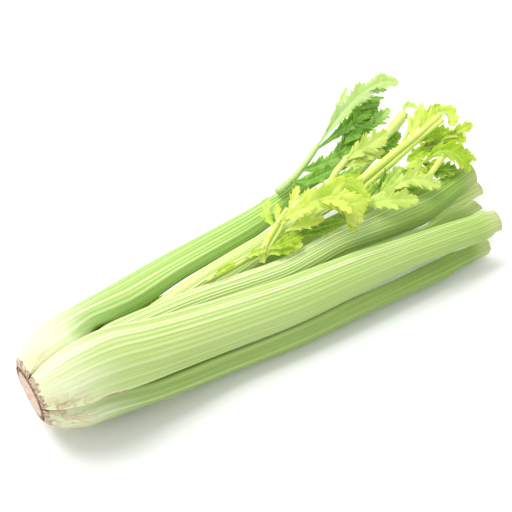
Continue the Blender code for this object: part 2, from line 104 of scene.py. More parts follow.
def base_rows(facing, half_angle, starts, depth=0.0, thickness=8.0):
    """First rows of a stalk that faces one way and lies at some depth in the bulb."""
    rows = []
    turn = math.radians(facing)
    for start in starts:
        radius = hermite(BULGE, start)[0] - depth
        room = radius - CROWN_RADIUS - GAP if start < CROWN_LENGTH else thickness
        rows.append((
            BUTT_X + start,
            ROOT_Y + radius * math.cos(turn),
            ROOT_Z + radius * math.sin(turn),
            facing,
            radius,
            half_angle - max(0.0, NARROWER - PER_MM * start),
            max(THINNEST, min(thickness, room)),
        ))
    return rows


print("rows of an outer stalk in the bulb:", len(base_rows(130, 33, OUTER)))

# %% Stalks that show
STALKS = {
    # name: tuck of the two margins near the root and at the far end, then the slices
    "stalk_front": ((0, 0), (0, 0), base_rows(130, 33, OUTER) + [
        (-116, -25.8, 62.7, 128.8, 32.8, 40.8, 8.5),
        (-92, -27.2, 56.4, 130.5, 27, 47.5, 9),
        (-50, -29.7, 48, 135, 24, 50, 9),
        (5, -36.3, 44.7, 137, 21.5, 52, 9),
        (56, -39.9, 43.8, 138, 18.5, 52, 8.5),
        (91, -42.9, 42.9, 138, 15, 53, 8),
        (128, -48, 42.6, 138, 13.5, 54, 7.5),
        (150, -51.3, 42, 138, 12.7, 55, 7.5),
        (157, -52, 42.9, 135, 13.6, 53, 8.5),
        (161, -52, 42.2, 135, 10.8, 56, 7.5),
        (166.5, -53, 42, 135, 9.2, 60, 7),
    ]),
    "stalk_top": ((0, 0), (0, 0), base_rows(114, 28, INNER, 11.5, 6.5) + [
        (-126, -12.6, 60, 115, 25, 27, 6.5),
        (-118, -11.7, 60, 114, 25, 33.5, 6.5),
        (-100, -7.9, 57.8, 111, 19, 43, 7.5),
        (-51, -6.5, 51.9, 112, 15, 50, 7.5),
        (10, -14.9, 50.6, 115, 13.5, 52, 7.5),
        (33, -15.4, 52, 116, 13, 52, 7.5),
        (56, -14.7, 52.4, 118, 12.5, 52, 7.5),
        (76, -16.6, 52, 124, 12.7, 58, 7.5),
        (95, -18.5, 51.6, 130, 13, 66, 7.5),
        (123, -21.3, 51.4, 138, 14, 72, 7.5),
        (141, -19.8, 51.8, 136, 12.5, 64, 7),
        (158, -17.4, 52.8, 133, 11, 60, 6.5),
        (173, -14.9, 53.8, 130, 9.8, 60, 6.5),
    ]),
    "stalk_back": ((0, 5), (0, 0), base_rows(60, 39, OUTER) + [
        (-118, 23.9, 60.8, 64, 32, 33, 8.5),
        (-100, 29, 54.5, 69, 28, 42, 9),
        (-84, 32.4, 50, 74, 26, 46, 9),
        (-46, 38.4, 46, 76, 23, 45, 9),
        (13, 43.4, 44, 76, 21, 46, 8.5),
        (36, 46, 44, 76, 18, 48, 8.5),
        (41, 47, 45, 76, 18.5, 50, 9),
        (46, 48, 44, 76, 14, 52, 8),
        (70, 53, 43, 78, 10, 56, 7),
        (122, 57, 41, 80, 7.5, 62, 6),
    ]),
}
print("stalks that show:", len(STALKS))

# %% Stalks below
STALKS |= {
    "stalk_low_front": ((5, 0), (1.5, 0), base_rows(195, 33, OUTER) + [
        (-100, -40.2, 20, 200, 28, 38, 9),
        (-48, -41.8, 11.3, 200, 19, 58, 9),
        (2, -47.3, 9.7, 196, 17.5, 62, 9),
        (42, -50.1, 10.9, 194, 17, 64, 9),
        (84, -52.3, 11.3, 191, 14.5, 68, 8.5),
        (119, -54.5, 11.4, 184, 12.8, 76, 8),
        (131, -53.9, 11.3, 187, 12.5, 75, 8),
        (137, -53.7, 11.2, 187, 11.4, 75, 7.5),
        (162, -53.9, 10.8, 189, 10.5, 73, 7.5),
    ]),
    "stalk_under": ((5, 0), (0, 0), base_rows(262, 36, OUTER) + [
        (-118, -5, -1.4, 265, 34, 34, 9),
        (-100, -4, -1.5, 267, 29, 36, 9),
        (-50, -3, -0.9, 268, 20, 46, 9),
        (50, -3, -0.9, 268, 17, 50, 8.5),
        (100, -9.7, 4, 259, 14, 47, 8),
        (122, -14.7, 8.6, 253, 13, 47, 8),
        (133, -18.3, 11.5, 247, 12.5, 45, 8),
        (139, -19.2, 13.2, 246, 12, 46, 7.5),
        (145, -18, 14, 254, 12, 54, 7),
        (152, -18.8, 15.9, 254, 11.5, 56, 7),
        (162, -21, 18.4, 252, 11, 55, 6.5),
        (173, -21.6, 21, 253, 11, 48, 6.5),
    ]),
    "stalk_low_back": ((5, 5), (0, 0), base_rows(338, 42, OUTER) + [
        (-100, 31, 14, 325, 27, 42, 9),
        (-50, 29.5, 2.2, 302, 20, 46, 9),
        (0, 28.2, -0.2, 290, 18, 50, 9),
        (60, 29, -0.6, 285, 16, 52, 8.5),
        (120, 31, -0.6, 285, 12, 55, 8),
    ]),
}
print("with those below:", len(STALKS))

# %% Stalks of the heart
STALKS |= {
    "stalk_inner": ((0, 0), (0, 0), [
        (-144, 8, 46, 80, 10, 58, 6),
        (-120, 9, 45, 85, 9.5, 60, 6),
        (-84, 9, 43, 95, 8.5, 60, 6),
        (-36, 11.4, 50.2, 105, 7.5, 62, 6),
        (14, 15.6, 50, 105, 8, 62, 6),
        (60, 17, 54, 105, 6.8, 66, 5.5),
        (77, 17.3, 55.6, 107, 6.2, 68, 5),
    ]),
    "stalk_heart": ((0, 0), (0, 0), [
        (-144, -9, 42, 110, 8, 62, 5.5),
        (-100, -8, 42, 110, 8, 62, 5.5),
        (-50, -7, 38, 110, 7.5, 62, 5.5),
        (10, -8, 36, 112, 7, 62, 5.5),
        (56, -9.5, 38, 115, 6.5, 64, 5.5),
        (110, -14.5, 37, 120, 6.3, 66, 5),
        (150, -19, 37, 126, 6.3, 64, 5),
        (177, -20, 39.5, 128, 6, 60, 4.5),
    ]),
    "stalk_core": ((0, 0), (0, 0), [
        (-144, 3, 32, 60, 9, 62, 5.5),
        (-100, 8, 31, 65, 8, 62, 5.5),
        (-50, 12, 32, 80, 7.5, 62, 5.5),
        (10, 20, 32, 90, 7, 62, 5.5),
        (70, 32, 36, 100, 6.5, 66, 5),
        (110, 40, 44, 110, 6, 70, 4.5),
        (140, 48, 51, 120, 5.5, 74, 4.5),
        (166, 59, 54, 120, 5, 78, 4.5),
    ]),
}
print("with the heart:", len(STALKS))

# %% [markdown]
# ## Ribs
#
# Under the skin of a stalk run strands of tough cells, the strings of celery. Each one lifts
# the skin into a rib. They are never evenly spaced: some are proud and pale, some faint, and
# they wander a little as they climb. One rib is a narrow bump at some share of the stalk's
# width, from -1 at one margin to 1 at the other, with a height of its own.

# %% Rib patterns
RIBS = {
    # share of the width and height of each rib; a stalk that isn't here gets its ribs by rule
    "stalk_front": [
        (-0.93, 0.7), (-0.80, 0.35), (-0.70, 1.0), (-0.60, 0.95), (-0.46, 0.4), (-0.33, 0.6),
        (-0.18, 0.3), (-0.04, 0.45), (0.14, 0.3), (0.30, 0.5), (0.46, 0.25), (0.62, 0.45),
        (0.78, 0.3), (0.92, 0.45),
    ],
    "stalk_top": [
        (-0.95, 0.6), (-0.82, 0.9), (-0.68, 0.7), (-0.55, 1.0), (-0.40, 0.5), (-0.27, 0.85),
        (-0.10, 0.6), (0.06, 0.4), (0.24, 0.5), (0.45, 0.3), (0.66, 0.45), (0.88, 0.4),
    ],
    "stalk_back": [
        (-0.9, 0.5), (-0.66, 0.6), (-0.42, 0.5), (-0.2, 0.9), (0.0, 0.55), (0.2, 1.0), (0.38, 0.5),
        (0.56, 0.7), (0.8, 0.4),
    ],
    "stalk_low_front": [
        (-0.84, 0.55), (-0.55, 0.35), (-0.28, 0.6), (0.0, 0.3), (0.28, 0.5), (0.58, 0.35),
        (0.84, 0.4),
    ],
}
# of the mean spacing: how wide a rib is and how far it wanders to either side
RIB_WIDTH, WANDER = 0.34, 0.10
UNEVEN = 0.18  # how much its height comes and goes


def drawn_ribs(count, seed):
    """Ribs by rule: evenly spread, then moved and weighted by chance."""
    draw = np.random.default_rng(seed)
    step = 2.0 / count
    places = -1 + step * (np.arange(count) + 0.5) + step * draw.uniform(-0.35, 0.35, count)
    return [(p, h) for p, h in zip(places, draw.uniform(0.25, 1.0, count))]


def rib_profile(ribs, shares, x, seed):
    """Height of the skin from 0 in a groove to 1 on a rib, across one slice."""
    draw = np.random.default_rng(seed)
    phases = draw.uniform(0, 6.28, (len(ribs), 2))
    profile = np.zeros_like(shares)
    spacing = 2.0 / len(ribs)
    for (place, height), (p1, p2) in zip(ribs, phases):
        middle = place + WANDER * spacing * math.sin(x / 55 + p1)
        tall = height * (1 - UNEVEN + UNEVEN * math.sin(x / 38 + p2))
        bump = tall * np.exp(-(((shares - middle) / (RIB_WIDTH * spacing)) ** 2))
        profile = np.maximum(profile, bump)
    return profile


print("ribs on the front stalk:", len(RIBS["stalk_front"]))

# %% [markdown]
# ## Building a stalk
#
# A stalk is a gutter: round and ribbed outside, smooth and hollow inside, thin at both
# margins. It could be a curve with a bevel, but a bevel keeps one section all the way, and
# this one changes. So slices are laid 2.5 mm apart and skinned into one closed mesh. Every
# point also keeps what its material will ask for: how far it is from the root, whether it is
# on a rib, whether it is on the hollow side, and its place on the unrolled skin.

# %% Mesh helpers
def tube_faces(total, around):
    """Faces between the rings of a tube whose points come ring by ring."""
    faces = []
    for start in range(0, total - around, around):
        for i in range(around):
            j = (i + 1) % around
            faces.append((start + i, start + j, start + around + j, start + around + i))
    return faces


def mesh_object(name, points, faces, facts):
    """A smooth-shaded mesh; points in millimetres, facts one value or vector per point."""
    mesh = bpy.data.meshes.new(name)
    mesh.from_pydata(((np.array(points) + CENTRE) * MM).tolist(), [], faces)
    for key, values in facts.items():
        values = np.asarray(values, dtype=np.float32)
        kind = "FLOAT_VECTOR" if values.ndim == 2 else "FLOAT"
        made = mesh.attributes.new(key, kind, "POINT")
        made.data.foreach_set("vector" if values.ndim == 2 else "value", values.ravel())
    mesh.validate()
    bm = bmesh.new()
    bm.from_mesh(mesh)
    bmesh.ops.recalc_face_normals(bm, faces=bm.faces)
    bm.to_mesh(mesh)
    bm.free()
    mesh.shade_smooth()
    obj = bpy.data.objects.new(name, mesh)
    bpy.context.scene.collection.objects.link(obj)
    return obj


print("faces of a square tube with three rings:", len(tube_faces(12, 4)))

# %% One slice
ACROSS = 96  # steps over the ribbed side
HOLLOW = 24  # steps over the hollow side
RING = ACROSS + HOLLOW + 2  # points of one slice
RIB_HEIGHT = 1.1  # millimetres, on a stalk that is neither thin nor narrow
THICK, WIDE = 7.0, 12.0  # thickness and radius below which its ribs are lower
FAINT = 0.35  # share of that height at the root
RIBS_FROM, RIBS_GROW = 8, 70  # they grow from here on, over this length
EDGE = 2.6  # thickness at the margins
CORNER = 1.3  # rounding of the margins
BEND = 0.98  # just under 1, so that the rounding doesn't end upright


def slice_points(row, x, ribs, tuck, seed):
    """Ring of one slice, with the facts of each point."""
    crest_y, crest_z, facing, radius, half_angle, thickness = row
    turn, half = math.radians(facing), math.radians(half_angle)
    centre = np.array([crest_y - radius * math.cos(turn), crest_z - radius * math.sin(turn)])
    edge = min(EDGE, 0.6 * thickness)
    corner = CORNER / (half * radius)  # as a share of the width
    grown = min(1.0, max(0.0, (x - BUTT_X - RIBS_FROM) / RIBS_GROW))
    rib = RIB_HEIGHT * min(1.0, thickness / THICK, radius / WIDE) * (FAINT + (1 - FAINT) * grown)

    def place(shares, inward):
        side = np.where(shares < 0, tuck[0], tuck[1])
        reach = radius - inward - side * shares**2
        angle = turn + shares * half
        y = centre[0] + reach * np.cos(angle)
        z = np.maximum(0.0, centre[1] + reach * np.sin(angle))
        return np.stack([np.full_like(y, x), y, z], axis=1)

    def rounding(shares):
        near = np.clip((np.abs(shares) - 1 + corner) / corner, 0, 1)
        return edge * (1 - np.sqrt(1 - BEND * near**2))

    outer = np.linspace(-1, 1, ACROSS + 1)
    inner = np.linspace(1, -1, HOLLOW + 1)
    lift = rib_profile(ribs, outer, x, seed)
    groove = rib * (1 - outer**6) * (1 - lift)
    wall = edge + (thickness - edge) * (1 - inner**2)
    points = np.concatenate([
        place(outer, groove + 0.5 * rounding(outer)),
        place(inner, wall - 0.45 * rounding(inner)),
    ])
    side = np.concatenate([outer, inner])
    facts = {
        "along": np.full(RING, x - BUTT_X),
        "around": side * half * radius,
        "side": side,
        "ridge": np.concatenate([lift, np.full(len(inner), 0.5)]),
        "hollow": np.concatenate([np.zeros(len(outer)), np.ones(len(inner))]),
    }
    return points, facts


print("points of a slice:", RING)

# %% One stalk
SLICE = 2.5  # millimetres between slices
CLOSE = (0, 0.6, 1.2, 1.9, 2.6, 3.4)  # the first slices, where the bulb turns in fast
TUCK_GROWS = 12  # the first millimetres, over which the margins are tucked in
TUCK_END, TUCK_BLEND = 150, 90  # the far end's tuck blends in over 90 mm and is full here
SHARP = 50  # degrees between two faces that leave the edge between them sharp


def build_stalk(name, seed):
    """Slices through the rows of one stalk, skinned and closed at both cuts."""
    tuck, tuck_end, table = STALKS[name]
    first, last = table[0][0], table[-1][0]
    ribs = RIBS.get(name) or drawn_ribs(11 if first < -150 else 8, seed)
    stations = [first + v for v in CLOSE] if first < BUTT_X + 2 else [first]
    steps = max(2, round((last - stations[-1]) / SLICE))
    stations += list(np.linspace(stations[-1], last, steps + 1))[1:]
    slices = []
    for x in stations:
        from_root = x - BUTT_X
        near = max(0.0, min(1.0, (TUCK_END - from_root) / TUCK_BLEND))
        grown = min(1.0, from_root / TUCK_GROWS)
        tucked = [grown * (a * near + b * (1 - near)) for a, b in zip(tuck, tuck_end)]
        slices.append(slice_points(hermite(table, x), x, ribs, tucked, seed))
    points = np.concatenate([own for own, _ in slices])
    facts = {key: np.concatenate([own[key] for _, own in slices]) for key in slices[0][1]}
    facts["cut"] = np.zeros(len(points))
    faces = tube_faces(len(points), RING)
    for ring, order in ((0, -1), (len(points) - RING, 1)):
        own = slice(ring, ring + RING)
        points = np.concatenate([points, points[own]])
        facts = {key: np.append(values, values[own]) for key, values in facts.items()}
        facts["cut"][-RING:] = 1.0
        faces.append(tuple(range(len(points) - RING, len(points)))[::order])
    around = facts.pop("around")
    facts["skin"] = np.stack([facts["along"], around, np.zeros(len(around))], axis=1)
    facts["tip"] = last - BUTT_X - facts["along"]
    return weld_caps(mesh_object(name + "_skin", points, faces, facts))


def weld_caps(obj):
    """Fill each cut with triangles; its rim stays sharp, as a knife leaves it."""
    bm = bmesh.new()
    bm.from_mesh(obj.data)
    bmesh.ops.triangulate(bm, faces=[f for f in bm.faces if len(f.verts) > 4])
    bmesh.ops.remove_doubles(bm, verts=bm.verts, dist=0.001 * MM)
    bm.to_mesh(obj.data)
    bm.free()
    obj.data.shade_smooth()
    obj.data.set_sharp_from_angle(angle=math.radians(SHARP))
    return obj


HEART_STALKS = ("stalk_inner", "stalk_heart", "stalk_core")
made_stalks = {name: build_stalk(name, 11 + i) for i, name in enumerate(STALKS)}
for name, obj in made_stalks.items():
    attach(obj, "root")
    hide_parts(name)
print("stalk faces:", {n: len(o.data.polygons) for n, o in made_stalks.items()})

# %% [markdown]
# ## Leaves
#
# A celery leaflet is a wedge that opens into a few lobes, each cut into coarse teeth that
# lean forward. One vein runs to every lobe. A flat cut-out with an image of a leaf would
# fool nobody from the side, so each blade is a thin closed solid: its rows run from the
# midrib out to a tooth or to the notch between two teeth, and the midrib is pressed in.

# %% Leaf outline
LOBES = [
    # place along the midrib, half width: the lobes and notches of the solids
    (0.00, 0.06), (0.13, 0.15), (0.29, 0.68), (0.36, 0.54), (0.50, 1.00), (0.58, 0.56),
    (0.72, 0.80), (0.79, 0.50), (0.90, 0.42), (1.00, 0.03),
]
VEINS = [0.29, 0.50, 0.72, 0.90]  # the rows of the lobes' points
STALKLET = 0.13  # up to here the leaflet is narrow
TOOTH = 3.8  # millimetres from one tooth to the next
DEEP = 0.42  # depth of the teeth, as a share of the half width
NEARBY = 0.02  # share of a curve's length over which its direction is read


def curve_point(points, t):
    table = [(i / (len(points) - 1), *p) for i, p in enumerate(points)]
    return Vector(hermite(table, t))


def curve_length(points):
    return sum((Vector(b) - Vector(a)).length for a, b in zip(points, points[1:]))


def curve_frame(points, t, up):
    """Position, direction, side and normal on a smooth curve."""
    ahead = curve_point(points, min(1.0, t + NEARBY))
    behind = curve_point(points, max(0.0, t - NEARBY))
    along = (ahead - behind).normalized()
    normal = (up - up.dot(along) * along).normalized()
    return curve_point(points, t), along, along.cross(normal), normal


def margin_widths(places, length, draw):
    """Half width of one margin: the lobes, each cut into sharp teeth that lean forward."""
    lobes = np.interp(places, [t for t, _ in LOBES], [w for _, w in LOBES])
    teeth = places * length / TOOTH + draw.uniform(0, 1) + 0.25 * np.sin(9 * places)
    cut = 1 - teeth % 1.0
    deep = DEEP * draw.uniform(0.7, 1.1) * np.clip(8 * (places - 0.12), 0, 1)
    return lobes * (1 - deep * cut)


print("teeth on a 30 mm leaflet:", round(30 / TOOTH))

# %% One blade
SIDE = 7  # steps from the midrib to a margin
LEAST_ROWS, ROWS_PER_TOOTH = 30, 5
BLADE = 0.7  # thickness at the midrib, in millimetres
MIDRIB, SIDE_VEIN = 0.5, 0.014  # half widths, in millimetres and as a share of the length
TIP, STEM = 0.1, 0.6  # least half width at the tip, and how much more at the stem
SUNK, PROUD = 0.12, 0.45  # the midrib is pressed in above and stands out below
FORWARD = 0.7  # how far the teeth lean towards the tip
# shares of the width: how the halves fold up, sway, ripple and swell between the veins
FOLD, SWAY, RUFFLE, PUFF = 0.25, 0.05, 0.04, 0.03


def blade(points, width, up, tone, seed):
    """Points, faces and facts of one thin toothed leaflet along a curved midrib."""
    up = Vector(up)
    draw = np.random.default_rng(seed + 1000)
    phase = float(draw.uniform(0, 6.28))
    length = curve_length(points)
    places = np.linspace(0, 1, max(LEAST_ROWS, round(ROWS_PER_TOOTH * length / TOOTH)) + 1)
    widths = {-1: margin_widths(places, length, draw), 1: margin_widths(places, length, draw)}
    sheets = ([], [])
    facts = {"vein": [], "margin": [], "skin": []}
    for row, t in enumerate(places.tolist()):
        coarse = float(np.interp(t, [t for t, _ in LOBES], range(len(LOBES))))
        sway = SWAY * width * math.sin(2.4 * coarse) * min(1.0, 6 * t, 6 * (1 - t))
        middle, along, side, normal = curve_frame(points, t, up)
        vein_here = max(math.exp(-(((t - v) / SIDE_VEIN) ** 2)) for v in VEINS)
        for k in range(-SIDE, SIDE + 1):
            s = k / SIDE
            lobe = float(widths[1 if s > 0 else -1][row])
            half = max(0.5 * width * lobe, STEM * (1 - t) + TIP)
            shift = FORWARD * half * abs(s) if t > STALKLET else 0
            lift = FOLD * half * abs(s) - sway * s * abs(s)
            ripple = math.sin(0.9 * t * length / TOOTH + phase + (2 if s > 0 else 0))
            lift += RUFFLE * width * s * s * ripple * min(1.0, 5 * t)
            puff = PUFF * width * math.sin(math.pi * abs(s)) * (0.5 - vein_here)
            lift += puff * min(1.0, 6 * t, 6 * (1 - t))
            rib = math.exp(-((s * half / MIDRIB) ** 2))
            where = middle + s * half * side + shift * along + lift * normal
            thick = 0.5 * BLADE * (1 - 0.55 * abs(s)) * (1 - 0.4 * t)
            sheets[0].append(where + (thick - SUNK * rib) * normal)
            sheets[1].append(where - (thick + PROUD * rib * (1 - 0.7 * t)) * normal)
            facts["vein"].append(0.5 * max(rib, 0.5 * vein_here * (1 - abs(s) ** 3)))
            facts["margin"].append(abs(s) ** 3)
            facts["skin"].append((t * length + shift, s * half, seed % 97))
    count = len(sheets[0])
    facts = {key: 2 * values for key, values in facts.items()}
    facts["tone"] = [tone] * (2 * count)
    facts["top"] = [1.0] * count + [0.0] * count
    points = [tuple(p) for p in sheets[0] + sheets[1]]
    return points, sheet_faces(count, 2 * SIDE + 1), facts


def sheet_faces(count, across):
    """Faces of a closed thin blade between an upper and a lower sheet of points."""
    faces = []
    for start in range(0, count - across, across):
        for a in range(start, start + across - 1):
            d = a + across
            faces.append((a, a + 1, d + 1, d))
            faces.append((count + a, count + d, count + d + 1, count + a + 1))
        for a in (start, start + across - 1):
            faces.append((a, a + across, count + a + across, count + a))
    for start in (0, count - across):
        for a in range(start, start + across - 1):
            faces.append((a, a + 1, count + a + 1, count + a))
    return faces


print("least faces of a blade:", len(sheet_faces((LEAST_ROWS + 1) * 15, 15)))

# %% [markdown]
# ## Petioles
#
# A leaflet hangs on a petiole, a small stalk that is almost round and tapers outward. A ring
# of points is swept along the same kind of curve, and every second point is drawn in a
# little, so that it has the fine ribs of a big stalk.

# %% One petiole
STEM_SIDES = 14  # half of them ribs
STEM_GROOVE = 0.9  # radius in a groove, as a share of the radius on a rib
STEM_STEPS = 10  # rings from one point of its table to the next
STEM_UP = Vector((0.05, -0.3, 1))


def petiole(points, thick, thin, tone, seed):
    """Points, faces and facts of one tapering leaf stem."""
    rings, facts = [], {"vein": [], "skin": []}
    count = STEM_STEPS * (len(points) - 1) + 1
    length = curve_length(points)
    for i in range(count):
        t = i / (count - 1)
        middle, _, side, normal = curve_frame(points, t, STEM_UP)
        radius = 0.5 * (thick + (thin - thick) * t)
        for k in range(STEM_SIDES):
            turn = 2 * math.pi * (k + 0.5) / STEM_SIDES
            reach = radius * (1.0 if k % 2 else STEM_GROOVE)
            offset = reach * (math.cos(turn) * side + math.sin(turn) * normal)
            rings.append(tuple(middle + offset))
            facts["vein"].append(1.0 if k % 2 else 0.7)
            facts["skin"].append((t * length, radius * turn, seed % 97))
    total = len(rings)
    faces = tube_faces(total, STEM_SIDES)
    faces += [tuple(range(STEM_SIDES))[::-1], tuple(range(total - STEM_SIDES, total))]
    facts |= {"margin": [0.0] * total, "tone": [tone] * total, "top": [1.0] * total}
    return rings, faces, facts


print("points of a short petiole:", len(petiole([(0, 0, 0), (9, 0, 3)], 4, 3, 0.5, 0)[0]))

# %% [markdown]
# ## The sprays
#
# The heart keeps its small leaves through the trimming, and they lie where the stalks let
# them. Each spray is one object: its petioles and leaflets ride together, and a tone for
# every blade says whether it is old and dark or young and yellow; a tone above 1 is painted
# shade, for a blade that lies under its neighbours.

# %% Sprays at the back
TILTED, UPRIGHT = (-0.3, -0.5, 0.8), (0, -0.4, 0.9)  # which way the top of a blade faces
SPRAYS = {
    # name: stems (points, thick, thin), leaflets (points, width, up)
    "leaf_back": ([
        ([(47, 48.5, 49.2), (63, 53, 49.6), (78, 58.5, 53), (92, 64, 58)], 6, 4),
    ], [
        ([(89.3, 62.9, 57.3), (110.4, 70.9, 64.5), (129.3, 77.9, 68), (148.8, 82.5, 69.5),
          (165.5, 82.7, 69), (173.8, 77.4, 66)], 19, (-0.2, -0.5, 0.8)),
        ([(89, 62, 56.5), (121, 68, 59), (142, 75, 60), (158, 79, 58)], 20, (-0.4, -0.4, 0.8)),
        ([(100, 56, 53), (120, 62, 56), (137, 68, 57), (153, 75, 55)], 27, TILTED),
        ([(91.8, 48.4, 50), (106.5, 54.5, 52), (124.6, 62.3, 53),
          (144.9, 71.7, 54)], 23, TILTED),
        ([(131, 63, 55), (143, 63, 56), (159, 68, 56)], 15, TILTED),
        ([(135, 78, 65), (146, 76, 65), (158, 74, 63)], 7, TILTED),
        ([(143.8, 80.6, 68.5), (153.5, 78.8, 68), (163.1, 77.8, 65)], 6, TILTED),
        ([(133, 75, 62), (143, 74, 62), (153, 73, 60)], 7, TILTED),
        ([(101.7, 68.6, 63), (120.8, 79.7, 68), (136.1, 91.3, 71)], 8, TILTED),
        ([(70.2, 54.8, 51.5), (79, 51.5, 52.5), (91.4, 50.5, 52.5),
          (107.1, 51.6, 51)], 16, (-0.2, -0.4, 0.9)),
        ([(58.2, 51, 50.5), (68.5, 43.7, 52), (82.5, 42.8, 52),
          (99.5, 44.6, 51)], 14, (-0.2, -0.4, 0.9)),
    ]),
    "leaf_pale": ([
        ([(66, 25, 44), (76, 30, 51), (86, 34, 59), (97, 37, 64)], 6, 4.5),
        ([(96.5, 37.9, 62.5), (116.5, 39.7, 58), (137.4, 44.2, 60), (160.2, 52.9, 62)], 6, 7),
        ([(160.2, 52.9, 62), (160.3, 45.9, 61.5), (150.7, 36.8, 60), (138.6, 30.1, 58)], 3.5, 2.5),
    ], [
        ([(93.3, 35.9, 63), (106, 37, 66), (119.5, 37.7, 67),
          (136.4, 42.4, 65)], 22, TILTED),
        ([(94.7, 36.6, 62.6), (110.9, 32.6, 63), (126.7, 31.2, 60.5)], 12, TILTED),
        ([(90, 35, 61), (104, 31, 61.5), (118, 30.5, 59)], 10, TILTED),
        ([(85, 32, 58), (93, 29, 58), (101, 25, 56)], 12, TILTED),
        ([(95.6, 36.7, 63), (125.6, 38.5, 55), (151.9, 44.6, 54)], 20, TILTED),
        ([(158.6, 52.1, 62.5), (163.8, 56.8, 64), (168.8, 56.1, 64),
          (171.2, 50.8, 63)], 7, (-0.2, -0.4, 0.9)),
    ]),
}
print("leaflets:", {name: len(leaflets) for name, (_, leaflets) in SPRAYS.items()})

# %% Sprays in the middle
SPRAYS |= {
    "leaf_crest": ([
        ([(80, 17, 54.5), (106, 20.5, 59.5), (132, 25, 62.5), (155.9, 28.9, 65.5),
          (176.1, 32.5, 69.5)], 7, 4),
        ([(81, 12.8, 50), (101.8, 15.9, 55.5), (125.9, 20.5, 59), (153, 26.1, 62.5),
          (175.4, 28, 68.5)], 6, 3.5),
    ], [
        ([(145.2, 27.6, 61.5), (158.3, 38, 65), (176, 51.5, 66)], 12, (-0.5, -0.4, 0.8)),
        ([(169, 33.1, 65.3), (180.6, 35.4, 67.4), (184.1, 29.3, 66.4),
          (179.1, 22.5, 63.6)], 15, (-0.2, -0.3, 0.9)),
        ([(154, 29.8, 63), (167.9, 35.4, 66), (180.9, 36.9, 67)], 19, (-0.5, -0.3, 0.8)),
        ([(165.6, 36.9, 65), (176.3, 42.4, 66), (186.4, 43.4, 65)], 8, (-0.5, -0.4, 0.8)),
        ([(149.3, 26.8, 60), (165.2, 26.2, 60), (179.4, 23.1, 59)], 18, (-0.2, -0.5, 0.8)),
        ([(166.9, 18.1, 60.2), (182.2, 17.9, 61.2), (198.1, 19.9, 59.2)], 13, (-0.2, -0.5, 0.8)),
        ([(161.4, 23.7, 60), (174.7, 17.5, 60), (184.7, 11, 57)], 15, (-0.2, -0.5, 0.8)),
        ([(146.3, 21.5, 58), (162.4, 17.6, 57.5), (174.3, 8.1, 55)], 18, (-0.2, -0.5, 0.8)),
        ([(173.4, 20.2, 58.5), (156.3, 19.2, 57.5), (136.1, 17.4, 57)], 16, (-0.2, -0.5, 0.8)),
    ]),
    "leaf_arch": ([
        ([(128, 16, 50), (135, 13, 54), (141, 10, 59), (144, 5, 64)], 5, 3.5),
        ([(153.2, -0.8, 69), (146.6, -2.2, 64), (136.9, -5.2, 59)], 5, 4),
    ], [
        ([(141, 5, 63), (150, 4, 69), (157, -2, 71), (161, -11, 68),
          (162, -18, 62)], 21, (0.1, -0.5, 0.9)),
        ([(143.5, 6, 63), (139, 7, 61.5), (134.5, -1.5, 57.5)], 18, (-0.4, -0.4, 0.8)),
        ([(157, -3.5, 70.6), (168, -7, 65.5), (176, -11, 60)], 8, UPRIGHT),
        ([(154.4, 4, 62.3), (147.2, 2.5, 60.6), (139, -0.4, 58.6)], 11, (-0.4, -0.4, 0.8)),
        ([(156, -1, 70.8), (168, -2, 67), (176, -5, 62)], 7, UPRIGHT),
        ([(141.8, 9, 60), (147, -2.6, 59), (159.6, -9.2, 58.7)], 19, UPRIGHT),
    ]),
    "leaf_near": ([
        ([(77, 1, 52), (84, 0, 57), (93, -1, 60), (104, -2, 61)], 5, 3.5),
    ], [
        ([(84, -0.5, 57.5), (96, -11, 65), (117, -20, 62)], 21, (-0.1, -0.3, 0.9)),
        ([(100, -1.6, 61), (121, -6, 67), (138, -18, 61)], 20, (-0.1, -0.3, 0.9)),
        ([(96, -1.5, 60.5), (112, 5, 63), (126, 11.5, 62)], 13, TILTED),
        ([(88, 1, 58), (110, 8, 57), (131, 10, 56)], 20, UPRIGHT),
        ([(81, 1, 56), (92, 5, 58), (106, 9, 57)], 13, TILTED),
        ([(94.9, -2.2, 59.5), (112.9, -4.4, 60), (130.4, -9, 59)], 15, UPRIGHT),
    ]),
}
print("sprays so far:", len(SPRAYS))

